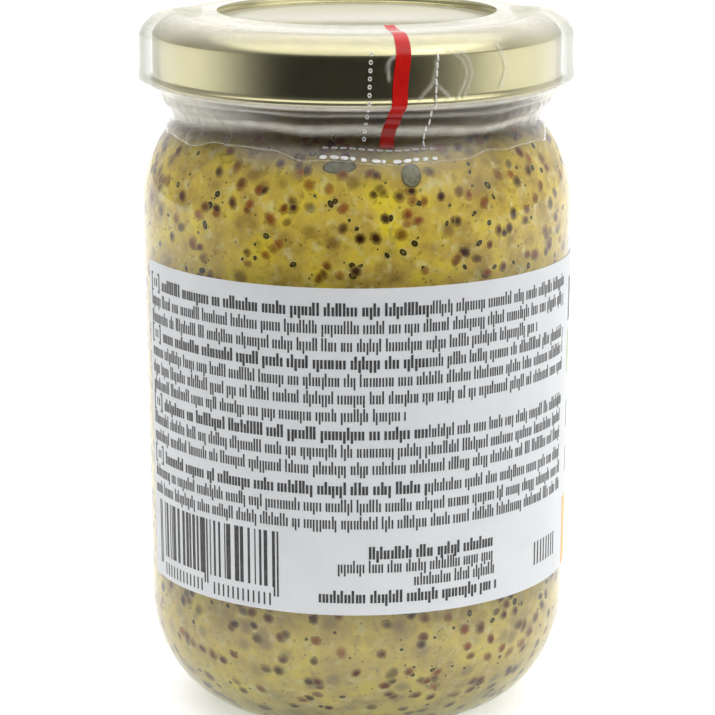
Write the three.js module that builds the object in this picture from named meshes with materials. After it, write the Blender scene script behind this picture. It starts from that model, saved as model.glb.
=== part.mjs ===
// A shut glass jar of wholegrain mustard: the jar, its filling, a gold twist-off cap, a paper
// label round the body, and a clear shrunk film over the cap and neck with a red tear strip.
// Millimetres, +Z up. The origin is the middle of the base, on the surface that the jar stands on.
// Azimuth 0 is -Y, the side with the label's back panel, and azimuth grows towards +X.
import * as THREE from "three";

// Fineness of the solids
const SEGMENTS = 60; // flat facets round a turned piece
const OUTSIDE_STEPS = 3; // half the steps in each round stretch of the jar's outside
const ARC_STEPS = 2; // the same for the other profiles
const RIM_STEPS = 1; // the same for the rim, which the cap hides
const RAD = Math.PI / 180;

// Jar, outside
const BASE_RADIUS = 17; // outer edge of the ring that the jar stands on
const PUSH_UP_RADIUS = 14.5; // the shallow hollow inside that ring
const PUSH_UP = 1.2;
const HEEL_HEIGHT = 15.6; // the large round heel ends here
const BODY_RADIUS_LOW = 29.3; // at the top of the heel
const BODY_RADIUS_HIGH = 29.8; // under the shoulder
const SHOULDER_START = 71.3;
const SHOULDER_ARC = 16.7; // radius of the round shoulder
const SHOULDER_ANGLE = 38 * RAD; // how far the shoulder leans in where it meets the neck's fillet
const NECK_RADIUS = 25.3;
const NECK_FILLET = 4;
const RIM_HEIGHT = 96.2;
const RIM_ROUND = 1.1;

// Jar, inside
const WALL = 2.4;
const FLOOR_HEIGHT = 4.6;
const INNER_HEEL_HEIGHT = 16.4;
const INNER_HEEL_WIDTH = 13;
const BORE_RADIUS = 22.9;

// Filling
const FILL_GAP = 0.3; // clear of the glass
const FILL_LEVEL = 89.5; // hidden behind the cap's skirt
const MENISCUS = 0.8; // the filling climbs this much at the glass

// Cap
const CAP_RADIUS = 28.1;
const CAP_BOTTOM = 87.8;
const CAP_TOP = 97.05;
const CAP_ROUND = 4.4; // radius of the round edge of its top
const CAP_KNEE = 25 * RAD; // how far that edge leans in where it meets the skirt in a knee
const CAP_SHEET = 0.5;
const CURL_RADIUS = 0.5; // the rolled lower edge
const CURL_BULGE = 0.25; // how far that edge stands out of the skirt
const PANEL_RADIUS = 20.2; // the sunk middle of the top
const PANEL_DEPTH = 0.7;
const PANEL_SLOPE = 0.5; // width of the step down to it

// Label
const LABEL_BOTTOM = 20;
const LABEL_TOP = 64.6;
const LABEL_GAP = 0.15; // between glass and paper
const LABEL_SHEET = 0.2;
const LABEL_START = -71.5 * RAD; // left edge of the back panel
const LABEL_SWEEP = 330 * RAD; // it runs to the right, round to a bare stripe of glass

// Shrunk film over the cap and neck
const FILM_SHEET = 0.2;
const FILM_GAP = 0.2;
const FILM_INNER_EDGE = 19.2; // it grips the cap's top down to this radius
const FILM_BOTTOM = 80.2;
const FILM_WAIST = 83.6; // where it is drawn into the neck
const FILM_FLARE = 1.9; // how much wider it is at its hem than at its waist
const FOLD_AZIMUTHS = [-88 * RAD, 92 * RAD]; // the two edges of the flat tube it was cut from
const FOLD_REACH = 1.3; // how far a fold stands off the cap
const FOLD_WIDTH = 13 * RAD;

// Tear strip on the film
const STRIP_WIDTH = 2;
const STRIP_SHEET = 0.2;
const STRIP_GAP = 0.1;
const STRIP_BOTTOM = 82.1; // it ends a little above the hem
const STRIP_AZIMUTH_TOP = 12.6 * RAD;
const STRIP_AZIMUTH_BOTTOM = 8.8 * RAD;

// Radius of the jar's slightly tapered body at a height.
function bodyRadius(height) {
  const share = (height - HEEL_HEIGHT) / (SHOULDER_START - HEEL_HEIGHT);
  return THREE.MathUtils.lerp(BODY_RADIUS_LOW, BODY_RADIUS_HIGH, share);
}

// A solid turned from the points of a profile, whose x is the radius and whose y is the height.
function turned(points) {
  return new THREE.LatheGeometry(points, SEGMENTS).rotateX(Math.PI / 2);
}

// Changes each vertex in cylinder terms: radius, azimuth and height in, the same three out.
function bend(geometry, change) {
  const place = geometry.attributes.position;
  for (let i = 0; i < place.count; i += 1) {
    const radius = Math.hypot(place.getX(i), place.getY(i));
    const azimuth = Math.atan2(place.getX(i), -place.getY(i));
    const bent = change(radius, azimuth, place.getZ(i));
    const x = bent.radius * Math.sin(bent.azimuth);
    const y = -bent.radius * Math.cos(bent.azimuth);
    place.setXYZ(i, x, y, bent.height);
  }
  return geometry;
}

// Shoulder and neck on a path, going up, for a wall set in by inset from the jar's outside.
function shoulderUp(path, inset, neckRadius) {
  const start = bodyRadius(SHOULDER_START) - inset;
  const arc = SHOULDER_ARC - inset;
  const fillet = NECK_FILLET + inset;
  path.absarc(start - arc, SHOULDER_START, arc, 0, SHOULDER_ANGLE, false);
  const low = path.currentPoint;
  const filletRise = fillet * Math.sin(SHOULDER_ANGLE);
  const meet = neckRadius + fillet * (1 - Math.cos(SHOULDER_ANGLE));
  const meetHeight = low.y + (low.x - meet) / Math.tan(SHOULDER_ANGLE);
  path.lineTo(meet, meetHeight);
  const middle = meetHeight + filletRise;
  path.absarc(neckRadius + fillet, middle, fillet, Math.PI + SHOULDER_ANGLE, Math.PI, true);
}

// Outside of the jar from the standing ring to the neck.
function jarOutside() {
  const path = new THREE.Path();
  path.moveTo(0, PUSH_UP);
  path.lineTo(PUSH_UP_RADIUS - 2 * PUSH_UP, PUSH_UP);
  path.lineTo(PUSH_UP_RADIUS, 0);
  path.lineTo(BASE_RADIUS, 0);
  const heelWidth = BODY_RADIUS_LOW - BASE_RADIUS;
  path.absellipse(BASE_RADIUS, HEEL_HEIGHT, heelWidth, HEEL_HEIGHT, -Math.PI / 2, 0, false);
  path.lineTo(bodyRadius(SHOULDER_START), SHOULDER_START);
  shoulderUp(path, 0, NECK_RADIUS);
  return path;
}

// Inside of the jar from the middle of the floor up to the neck, set in by gap.
function jarInside(gap) {
  const path = new THREE.Path();
  const wall = WALL + gap;
  const low = bodyRadius(INNER_HEEL_HEIGHT) - wall;
  const heelWidth = INNER_HEEL_WIDTH - gap;
  const heelRise = INNER_HEEL_HEIGHT - FLOOR_HEIGHT - gap;
  const floorEdge = low - heelWidth;
  path.moveTo(0, FLOOR_HEIGHT + gap);
  path.lineTo(floorEdge, FLOOR_HEIGHT + gap);
  path.absellipse(floorEdge, INNER_HEEL_HEIGHT, heelWidth, heelRise, -Math.PI / 2, 0, false);
  path.lineTo(bodyRadius(SHOULDER_START) - wall, SHOULDER_START);
  shoulderUp(path, wall, BORE_RADIUS - gap);
  return path;
}

// Round rim at the top of the neck, from the outside over to the bore.
function jarRim() {
  const path = new THREE.Path();
  const middle = RIM_HEIGHT - RIM_ROUND;
  path.absarc(NECK_RADIUS - RIM_ROUND, middle, RIM_ROUND, 0, Math.PI / 2, false);
  path.absarc(BORE_RADIUS + RIM_ROUND, middle, RIM_ROUND, Math.PI / 2, Math.PI, false);
  return path;
}

function jarGlass() {
  const outside = jarOutside().getPoints(OUTSIDE_STEPS);
  const rim = jarRim().getPoints(RIM_STEPS);
  const inside = jarInside(0).getPoints(ARC_STEPS).reverse();
  return turned([...outside, ...rim, ...inside]);
}

function mustard() {
  const path = jarInside(FILL_GAP);
  const edge = BORE_RADIUS - FILL_GAP;
  path.lineTo(edge, FILL_LEVEL + MENISCUS);
  path.lineTo(edge - MENISCUS, FILL_LEVEL);
  path.lineTo(0, FILL_LEVEL);
  return turned(path.getPoints(ARC_STEPS));
}

// Middle of the round edge of the cap's top.
function capRound() {
  return { x: CAP_RADIUS - CAP_ROUND * Math.cos(CAP_KNEE), y: CAP_TOP - CAP_ROUND };
}

// The cap is one sheet: rolled lower edge, skirt, knee, round edge, raised ring and sunk panel.
function cap() {
  const curl = CAP_BOTTOM + CURL_RADIUS;
  const curlMiddle = CAP_RADIUS + CURL_BULGE - CURL_RADIUS;
  const skirtInside = CAP_RADIUS - CAP_SHEET;
  const middle = capRound();
  const roundInside = CAP_ROUND - CAP_SHEET;
  const kneeInside = Math.acos((skirtInside - middle.x) / roundInside);
  const under = CAP_TOP - CAP_SHEET;
  const panel = CAP_TOP - PANEL_DEPTH;
  const path = new THREE.Path();
  path.moveTo(0, panel - CAP_SHEET);
  path.lineTo(PANEL_RADIUS, panel - CAP_SHEET);
  path.lineTo(PANEL_RADIUS + PANEL_SLOPE, under);
  path.absarc(middle.x, middle.y, roundInside, Math.PI / 2, kneeInside, true);
  path.lineTo(skirtInside, curl + CURL_RADIUS);
  path.absarc(curlMiddle, curl, CURL_RADIUS, 0.6 * Math.PI, 2.4 * Math.PI, false);
  path.lineTo(CAP_RADIUS, curl + CURL_RADIUS);
  path.absarc(middle.x, middle.y, CAP_ROUND, CAP_KNEE, Math.PI / 2, false);
  path.lineTo(PANEL_RADIUS, CAP_TOP);
  path.lineTo(PANEL_RADIUS - PANEL_SLOPE, panel);
  path.lineTo(0, panel);
  return turned(path.getPoints(ARC_STEPS));
}

function label() {
  const outer = bodyRadius(LABEL_BOTTOM) + LABEL_GAP + LABEL_SHEET;
  const start = LABEL_START - Math.PI / 2;
  const end = start + LABEL_SWEEP;
  const sector = new THREE.Shape();
  sector.absarc(0, 0, outer, start, end, false);
  sector.absarc(0, 0, outer - LABEL_SHEET, end, start, true);
  const sheet = new THREE.ExtrudeGeometry(sector, {
    depth: LABEL_TOP - LABEL_BOTTOM,
    curveSegments: SEGMENTS / 2,
    bevelEnabled: false,
  });
  sheet.translate(0, 0, LABEL_BOTTOM);
  const taper = (height) => bodyRadius(height) - bodyRadius(LABEL_BOTTOM);
  return bend(sheet, (radius, azimuth, height) => ({
    radius: radius + taper(height),
    azimuth,
    height,
  }));
}

// Path of a sheet over the cap and neck, offset outwards by out from the film's inner face.
// It runs from the cap's top, over its round edge, down the skirt, into the neck and onto the shoulder,
// where it widens with the square of the way below the waist, down to bottom.
function filmPath(out, bottom) {
  const top = CAP_TOP + FILM_GAP + out;
  const skirt = CAP_RADIUS + CURL_BULGE + FILM_GAP + out;
  const middle = capRound();
  const round = CAP_ROUND + FILM_GAP + out;
  const waist = NECK_RADIUS + 2 * FILM_GAP + out;
  const belowWaist = (FILM_WAIST - bottom) / (FILM_WAIST - FILM_BOTTOM);
  const flared = waist + FILM_FLARE * belowWaist ** 2;
  const path = new THREE.Path();
  path.moveTo(FILM_INNER_EDGE, top);
  path.lineTo(middle.x, top);
  path.absarc(middle.x, middle.y, round, Math.PI / 2, CAP_KNEE, true);
  path.lineTo(skirt, CAP_BOTTOM);
  path.quadraticCurveTo(waist + FILM_FLARE, CAP_BOTTOM - 2 * CURL_RADIUS, waist, FILM_WAIST);
  path.quadraticCurveTo(waist, (FILM_WAIST + bottom) / 2, flared, bottom);
  return path;
}

// How far the film stands out at an azimuth, along the two edges of its flat tube.
function foldReach(azimuth, height) {
  const onSkirt = THREE.MathUtils.smoothstep(height, CAP_BOTTOM - 3, CAP_BOTTOM + 1);
  const belowTop = 1 - THREE.MathUtils.smoothstep(height, CAP_TOP - 1, CAP_TOP + FILM_GAP);
  const offsets = FOLD_AZIMUTHS.map((fold) => {
    const apart = Math.atan2(Math.sin(azimuth - fold), Math.cos(azimuth - fold));
    return Math.exp(-((apart / FOLD_WIDTH) ** 2));
  });
  return FOLD_REACH * onSkirt * belowTop * Math.max(...offsets);
}

function sealFilm() {
  const inner = filmPath(0, FILM_BOTTOM).getPoints(ARC_STEPS);
  const outer = filmPath(FILM_SHEET, FILM_BOTTOM).getPoints(ARC_STEPS).reverse();
  const band = turned([...inner, ...outer, inner[0]]);
  return bend(band, (radius, azimuth, height) => ({
    radius: radius + foldReach(azimuth, height),
    azimuth,
    height,
  }));
}

function tearStrip() {
  const near = FILM_SHEET + STRIP_GAP;
  const inner = filmPath(near, STRIP_BOTTOM).getPoints(ARC_STEPS);
  const outer = filmPath(near + STRIP_SHEET, STRIP_BOTTOM).getPoints(ARC_STEPS).reverse();
  const side = new THREE.Shape([...inner, ...outer]);
  const strip = new THREE.ExtrudeGeometry(side, { depth: STRIP_WIDTH, bevelEnabled: false });
  strip.translate(0, 0, -STRIP_WIDTH / 2);
  // The side view stands upright in the plane of azimuth 90 degrees, and the lean turns it to its place.
  strip.rotateX(Math.PI / 2);
  return bend(strip, (radius, azimuth, height) => {
    const share = (height - STRIP_BOTTOM) / (CAP_TOP - STRIP_BOTTOM);
    const place = THREE.MathUtils.lerp(STRIP_AZIMUTH_BOTTOM, STRIP_AZIMUTH_TOP, share);
    return { radius, azimuth: azimuth - Math.PI / 2 + place, height };
  });
}

const clear = { transparent: true, metalness: 0, side: THREE.DoubleSide };
const finishes = {
  glass: new THREE.MeshStandardMaterial({ ...clear, color: 0xeef3ee, opacity: 0.3, roughness: 0.03 }),
  mustard: new THREE.MeshStandardMaterial({ color: 0xb9a24a, roughness: 0.45, metalness: 0 }),
  goldLacquer: new THREE.MeshStandardMaterial({ color: 0xcdc08a, roughness: 0.25, metalness: 1 }),
  paper: new THREE.MeshStandardMaterial({ color: 0xe8e9eb, roughness: 0.55, metalness: 0 }),
  film: new THREE.MeshStandardMaterial({ ...clear, color: 0xf4f4f4, opacity: 0.25, roughness: 0.12 }),
  redTape: new THREE.MeshStandardMaterial({ color: 0xc01812, roughness: 0.3, metalness: 0 }),
};

const pieces = [
  ["jar_glass", jarGlass(), finishes.glass],
  ["mustard", mustard(), finishes.mustard],
  ["cap", cap(), finishes.goldLacquer],
  ["label", label(), finishes.paper],
  ["seal_film", sealFilm(), finishes.film],
  ["tear_strip", tearStrip(), finishes.redTape],
];

const jar = new THREE.Group();
for (const [name, geometry, finish] of pieces) {
  const piece = new THREE.Mesh(geometry, finish);
  piece.name = name;
  jar.add(piece);
}

export default jar;
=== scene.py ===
"""Looks of a shut jar of wholegrain mustard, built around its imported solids.

Every shape is worked out with numpy in millimetres and put into a mesh in metres. Azimuth 0 is -Y,
the side with the label's back panel, and azimuth grows towards +X.
"""
import math

import bpy
import numpy as np
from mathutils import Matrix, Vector


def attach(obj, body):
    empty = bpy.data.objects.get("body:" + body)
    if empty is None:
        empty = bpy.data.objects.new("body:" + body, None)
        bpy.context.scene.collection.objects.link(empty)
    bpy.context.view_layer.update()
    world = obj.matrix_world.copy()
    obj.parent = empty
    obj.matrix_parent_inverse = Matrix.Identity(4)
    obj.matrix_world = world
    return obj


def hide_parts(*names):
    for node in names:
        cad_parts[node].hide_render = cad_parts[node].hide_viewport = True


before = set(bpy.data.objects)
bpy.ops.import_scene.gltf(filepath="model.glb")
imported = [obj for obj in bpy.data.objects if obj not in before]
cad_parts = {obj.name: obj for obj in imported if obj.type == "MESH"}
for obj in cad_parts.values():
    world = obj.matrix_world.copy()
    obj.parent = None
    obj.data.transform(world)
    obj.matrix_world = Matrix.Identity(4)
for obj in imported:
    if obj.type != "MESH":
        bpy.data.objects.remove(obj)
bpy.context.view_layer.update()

MM = 0.001
TURN = 2 * np.pi
SEGMENTS = 240

# Jar outside
BASE_RADIUS = 17.0
PUSH_UP_RADIUS = 14.5
PUSH_UP = 1.2
HEEL_HEIGHT = 15.6
BODY_RADIUS_LOW = 29.3
BODY_RADIUS_HIGH = 29.8
SHOULDER_START = 71.3
SHOULDER_ARC = 16.7
SHOULDER_ANGLE = 38.0
NECK_RADIUS = 25.3
NECK_FILLET = 4.0
RIM_HEIGHT = 96.2
RIM_ROUND = 1.1

# Jar inside and filling
WALL = 2.4
FLOOR_HEIGHT = 4.6
INNER_HEEL_HEIGHT = 16.4
INNER_HEEL_WIDTH = 13.0
BORE_RADIUS = 22.9
FILL_LEVEL = 89.5
MENISCUS = 0.8
FILL_REACH = 0.06  # the filling reaches this far into the glass, so that no air shows between

# Cap
CAP_RADIUS = 28.1
CAP_BOTTOM = 87.8
CAP_TOP = 97.05
CAP_ROUND = 4.4
CAP_KNEE = 25.0
KNEE_ROUND = 0.6
CAP_SHEET = 0.3
CURL_RADIUS = 0.5
CURL_BULGE = 0.25
PANEL_RADIUS = 20.2
PANEL_DEPTH = 0.7
PANEL_ROUND = 0.35

# Label
LABEL_BOTTOM = 20.0
LABEL_TOP = 64.6
LABEL_START = -71.5
LABEL_SWEEP = 330.0
PAPER_LIFT = 0.02
PAPER_SHEET = 0.1
INK_SHEET = 0.025  # far thicker than ink, so that the print keeps clear of the paper in a render

# Shrunk film
FILM_SHEET = 0.04
FILM_SEGMENTS = 560
FILM_STEPS = 78
FOLD_AZIMUTHS = (-88.0, 92.0)
FOLD_REACH = 1.75
FOLD_WIDTH = 13.0

# Tear strip
STRIP_WIDTH = 2.0
STRIP_SHEET = 0.04
STRIP_LIFT = 0.01
STRIP_END = 82.2
STRIP_TOP_AZIMUTH = 12.6
STRIP_BOTTOM_AZIMUTH = 8.6


# Shapes

def polar(radius, azimuth, height):
    """Points at a radius, an azimuth in radians and a height: (r sin a, -r cos a, z)."""
    radius, azimuth, height = np.broadcast_arrays(radius, azimuth, height)
    return np.stack([radius * np.sin(azimuth), -radius * np.cos(azimuth), height], -1)


def arc(centre, radii, start, end, steps=20):
    """Points of an ellipse: centre + radii * (cos t, sin t), with t from start to end in degrees."""
    angle = np.radians(np.linspace(start, end, steps + 1))
    return np.array(centre) + np.array(radii) * np.stack([np.cos(angle), np.sin(angle)], -1)


def outline(*stretches):
    """One profile of (radius, height) points from its stretches, without doubled points."""
    points = np.concatenate([np.atleast_2d(np.asarray(s, float)) for s in stretches])
    apart = np.linalg.norm(np.diff(points, axis=0), axis=1) > 1e-6
    return points[np.r_[True, apart]]


def smooth_path(points, steps):
    """A Catmull-Rom curve through the points: on each span a cubic whose slope at a point is half the
    step between its two neighbours, sampled evenly by length."""
    points = np.asarray(points, float)
    ends = np.concatenate([[2 * points[0] - points[1]], points, [2 * points[-1] - points[-2]]])
    t = np.linspace(0, 1, 24, endpoint=False)[None, :, None]
    before, here, there, after = (ends[k:len(ends) - 3 + k][:, None, :] for k in range(4))
    curve = 0.5 * (2 * here + (there - before) * t + (2 * before - 5 * here + 4 * there - after) * t ** 2
                   + (3 * here - before - 3 * there + after) * t ** 3)
    return even_path(np.concatenate([curve.reshape(-1, points.shape[1]), points[-1:]]), steps)


def path_length(points):
    """Length along the points, from 0 at the first."""
    return np.r_[0, np.cumsum(np.linalg.norm(np.diff(points, axis=0), axis=1))]


def even_path(points, steps):
    """The same path as steps + 1 points at equal lengths."""
    length = path_length(points)
    wanted = np.linspace(0, length[-1], steps + 1)
    return np.stack([np.interp(wanted, length, column) for column in points.T], -1)


def smooth_step(value, low, high):
    """0 below low and 1 above high, with 3t^2 - 2t^3 between."""
    t = np.clip((np.asarray(value, float) - low) / (high - low), 0, 1)
    return t * t * (3 - 2 * t)


def bell(value, middle, width):
    """A bell curve: exp(-((value - middle) / width)^2)."""
    return np.exp(-((value - middle) / width) ** 2)


def around(azimuth, middle):
    """Difference of two azimuths in degrees, brought to between -180 and 180."""
    return (np.asarray(azimuth) - middle + 180) % 360 - 180


def grid_quads(rows, columns, wrap_rows, wrap_columns):
    """Corner numbers of a grid's quads, for points stored row by row. A wrapped side joins its last to its
    first. The faces look along (next row) x (next column)."""
    row = np.arange(rows if wrap_rows else rows - 1)[:, None]
    column = np.arange(columns if wrap_columns else columns - 1)[None, :]
    next_row, next_column = (row + 1) % rows, (column + 1) % columns
    corners = [(row, column), (next_row, column), (next_row, next_column), (row, next_column)]
    return np.stack([(r * columns + c).ravel() for r, c in corners], -1)


def turned(profile, segments=SEGMENTS):
    """A solid of revolution: point (r, z) of the profile at each azimuth. The profile starts and ends on the
    axis, walked with the outside on its right, and each end becomes one vertex with a fan of triangles."""
    azimuth = np.linspace(0, TURN, segments, endpoint=False)[:, None]
    ring = profile[1:-1]
    points = polar(ring[None, :, 0], azimuth, ring[None, :, 1]).reshape(-1, 3)
    quads = grid_quads(segments, len(ring), True, False)
    here = np.arange(segments) * len(ring)
    there = np.roll(here, -1)
    last = len(ring) - 1
    low, high = len(points), len(points) + 1
    fans = [np.stack([np.full(segments, low), there, here], -1),
            np.stack([np.full(segments, high), here + last, there + last], -1)]
    poles = [[0, 0, profile[0, 1]], [0, 0, profile[-1, 1]]]
    return np.concatenate([points, poles]), [quads, *fans]


def carried(sections, closed):
    """A section loop carried along a path: sections[i, j] is corner j of the loop at step i. A closed path
    joins its ends, and an open one gets the loop itself as its two end faces."""
    steps, corners = sections.shape[:2]
    faces = [grid_quads(steps, corners, closed, True)]
    if not closed:
        loop = np.arange(corners)[None, :]
        faces += [loop, loop[:, ::-1] + (steps - 1) * corners]
    return sections.reshape(-1, 3), faces


def repeated(shapes, faces):
    """Many copies of a small shape as one mesh: shapes[k] are the vertices of copy k, and every copy has the
    same faces, counted on from its own first vertex."""
    copies, corners = shapes.shape[:2]
    start = (np.arange(copies) * corners)[:, None, None]
    return shapes.reshape(-1, 3), [(start + f[None]).reshape(-1, f.shape[1]) for f in faces]


def piece(name, shape, material, slot, replaces=None, smooth=True, **values):
    """Puts a shape into a mesh in metres that rides on the jar. values are numbers for each vertex, which the
    material reads by name."""
    points, faces = shape
    mesh = bpy.data.meshes.new(name)
    mesh.from_pydata((points * MM).tolist(), [], [f for rows in faces for f in rows.tolist()])
    mesh.polygons.foreach_set("use_smooth", np.full(len(mesh.polygons), smooth))
    for key, numbers in values.items():
        attribute = mesh.attributes.new(key, "FLOAT", "POINT")
        attribute.data.foreach_set("value", np.asarray(numbers, np.float32).ravel())
    mesh.materials.append(material)
    mesh.update()
    made = bpy.data.objects.new(name, mesh)
    bpy.context.scene.collection.objects.link(made)
    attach(made, "root")
    if replaces:
        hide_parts(replaces)
    return made


# Profiles of the jar, its filling and its cap

def body_radius(height):
    """Radius of the slightly tapered body at a height."""
    share = (height - HEEL_HEIGHT) / (SHOULDER_START - HEEL_HEIGHT)
    return BODY_RADIUS_LOW + share * (BODY_RADIUS_HIGH - BODY_RADIUS_LOW)


def shoulder(inset, neck):
    """Round shoulder, short slope and neck fillet, going up, set in from the outside by inset."""
    start = body_radius(SHOULDER_START) - inset
    bend = SHOULDER_ARC - inset
    fillet = NECK_FILLET + inset
    lean = np.radians(SHOULDER_ANGLE)
    round_part = arc((start - bend, SHOULDER_START), (bend, bend), 0, SHOULDER_ANGLE)
    meet = neck + fillet * (1 - np.cos(lean))
    rise = (round_part[-1, 0] - meet) / np.tan(lean)
    middle = round_part[-1, 1] + rise + fillet * np.sin(lean)
    return outline(round_part, arc((neck + fillet, middle), (fillet, fillet), 180 + SHOULDER_ANGLE, 180))


def jar_outside():
    """Outside of the jar from the middle of the base to the neck: hollow base, standing ring, elliptic heel,
    tapered body and shoulder."""
    heel = arc((BASE_RADIUS, HEEL_HEIGHT), (BODY_RADIUS_LOW - BASE_RADIUS, HEEL_HEIGHT), -90, 0, 32)
    hollow = smooth_path([(PUSH_UP_RADIUS - 4 * PUSH_UP, PUSH_UP), (PUSH_UP_RADIUS - PUSH_UP, PUSH_UP / 3),
                          (PUSH_UP_RADIUS, 0)], 10)
    return outline((0, PUSH_UP), hollow, heel, shoulder(0, NECK_RADIUS))


def jar_inside(reach):
    """Inside of the jar from the middle of the floor to the neck, moved into the glass by reach."""
    wall = WALL - reach
    low = body_radius(INNER_HEEL_HEIGHT) - wall
    floor = FLOOR_HEIGHT - reach
    heel_width = INNER_HEEL_WIDTH + reach
    heel = arc((low - heel_width, INNER_HEEL_HEIGHT), (heel_width, INNER_HEEL_HEIGHT - floor), -90, 0, 32)
    return outline((0, floor), heel, shoulder(wall, BORE_RADIUS + reach))


def jar_glass_profile():
    """The whole wall: outside up, round rim, inside down."""
    middle = RIM_HEIGHT - RIM_ROUND
    rim = outline(arc((NECK_RADIUS - RIM_ROUND, middle), (RIM_ROUND, RIM_ROUND), 0, 90, 8),
                  arc((BORE_RADIUS + RIM_ROUND, middle), (RIM_ROUND, RIM_ROUND), 90, 180, 8))
    return outline(jar_outside(), rim, jar_inside(0)[::-1])


def mustard_profile():
    """The filling, up to a level that climbs a little at the glass."""
    edge = BORE_RADIUS + FILL_REACH
    top = smooth_path([(edge, FILL_LEVEL + MENISCUS), (edge - MENISCUS, FILL_LEVEL + MENISCUS / 4),
                       (edge - 3 * MENISCUS, FILL_LEVEL)], 10)
    return outline(jar_inside(FILL_REACH), top, (0, FILL_LEVEL))


CAP_ROUND_MIDDLE = (CAP_RADIUS - CAP_ROUND * np.cos(np.radians(CAP_KNEE)), CAP_TOP - CAP_ROUND)


def cap_round(inset, end):
    """The round edge of the cap's top, set in by inset, going up from where it meets the skirt to an angle
    end in degrees."""
    radius = CAP_ROUND - inset
    leave = np.degrees(np.arccos((CAP_RADIUS - inset - CAP_ROUND_MIDDLE[0]) / radius))
    return arc(CAP_ROUND_MIDDLE, (radius, radius), leave, end, 16)


def cap_profile():
    """One sheet: under the panel, out to the round edge, down inside the skirt, round the rolled lower edge,
    up outside, round the knee and back over the top."""
    knee = cap_round(KNEE_ROUND, 90)[0]
    lean = np.degrees(np.arctan2(knee[1] - CAP_ROUND_MIDDLE[1], knee[0] - CAP_ROUND_MIDDLE[0]))
    curl = CAP_BOTTOM + CURL_RADIUS
    curl_middle = CAP_RADIUS + CURL_BULGE - CURL_RADIUS
    panel = CAP_TOP - PANEL_DEPTH
    third = PANEL_ROUND / 3
    step = [(PANEL_RADIUS + PANEL_ROUND, CAP_TOP), (PANEL_RADIUS + third, CAP_TOP - third),
            (PANEL_RADIUS - third, panel + third), (PANEL_RADIUS - PANEL_ROUND, panel)]
    upper_step = smooth_path(step, 12)
    lower_step = upper_step - (0, CAP_SHEET)
    return outline((0, panel - CAP_SHEET), lower_step[::-1], cap_round(CAP_SHEET, 90)[::-1],
                   arc((curl_middle, curl), (CURL_RADIUS, CURL_RADIUS), 108, 400, 28),
                   np.linspace((CAP_RADIUS, curl + 0.75 * CURL_RADIUS), (CAP_RADIUS, knee[1]), 12),
                   arc(knee, (KNEE_ROUND, KNEE_ROUND), 0, lean, 6),
                   arc(CAP_ROUND_MIDDLE, (CAP_ROUND, CAP_ROUND), lean, 90, 20), upper_step, (0, panel))


# Seeds and bubbles against the glass

FILLING_LINE = even_path(jar_inside(FILL_REACH), 400)
HIDDEN_MARGIN = 4.0


def spots(azimuth, place):
    """Places on the filling's outside, at azimuths in radians and numbers along its profile: for each the
    point, the outward normal and two directions in the surface, round the jar and up the profile."""
    steps = np.arange(len(FILLING_LINE))
    radius, height = (np.interp(place, steps, column) for column in FILLING_LINE.T)
    along_r, along_z = (np.interp(place, steps, column) for column in np.gradient(FILLING_LINE, axis=0).T)
    size = np.hypot(along_r, along_z)
    outward = polar(along_z / size, azimuth, -along_r / size)
    upward = polar(along_r / size, azimuth, along_z / size)
    sideways = polar(np.ones_like(size), azimuth + np.pi / 2, 0)
    return polar(radius, azimuth, height), outward, sideways, upward


def random_spots(rng, density):
    """Random places on the filling, even by area, so many to a square millimetre. Those that the label hides
    are left out."""
    weight = np.r_[0, np.cumsum(FILLING_LINE[1:, 0])]
    step = path_length(FILLING_LINE)[-1] / (len(FILLING_LINE) - 1)
    count = int(density * TURN * weight[-1] * step)
    place = np.interp(rng.random(count), weight / weight[-1], np.arange(len(weight)))
    azimuth = TURN * rng.random(count)
    height = np.interp(place, np.arange(len(weight)), FILLING_LINE[:, 1])
    bare = 180 - LABEL_SWEEP / 2 + np.degrees(HIDDEN_MARGIN / BODY_RADIUS_LOW)
    in_gap = np.abs(around(np.degrees(azimuth), LABEL_START + LABEL_SWEEP / 2 + 180)) < bare
    seen = (height < LABEL_BOTTOM + HIDDEN_MARGIN) | (height > LABEL_TOP - HIDDEN_MARGIN) | in_gap
    return spots(azimuth[seen], place[seen])


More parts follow.
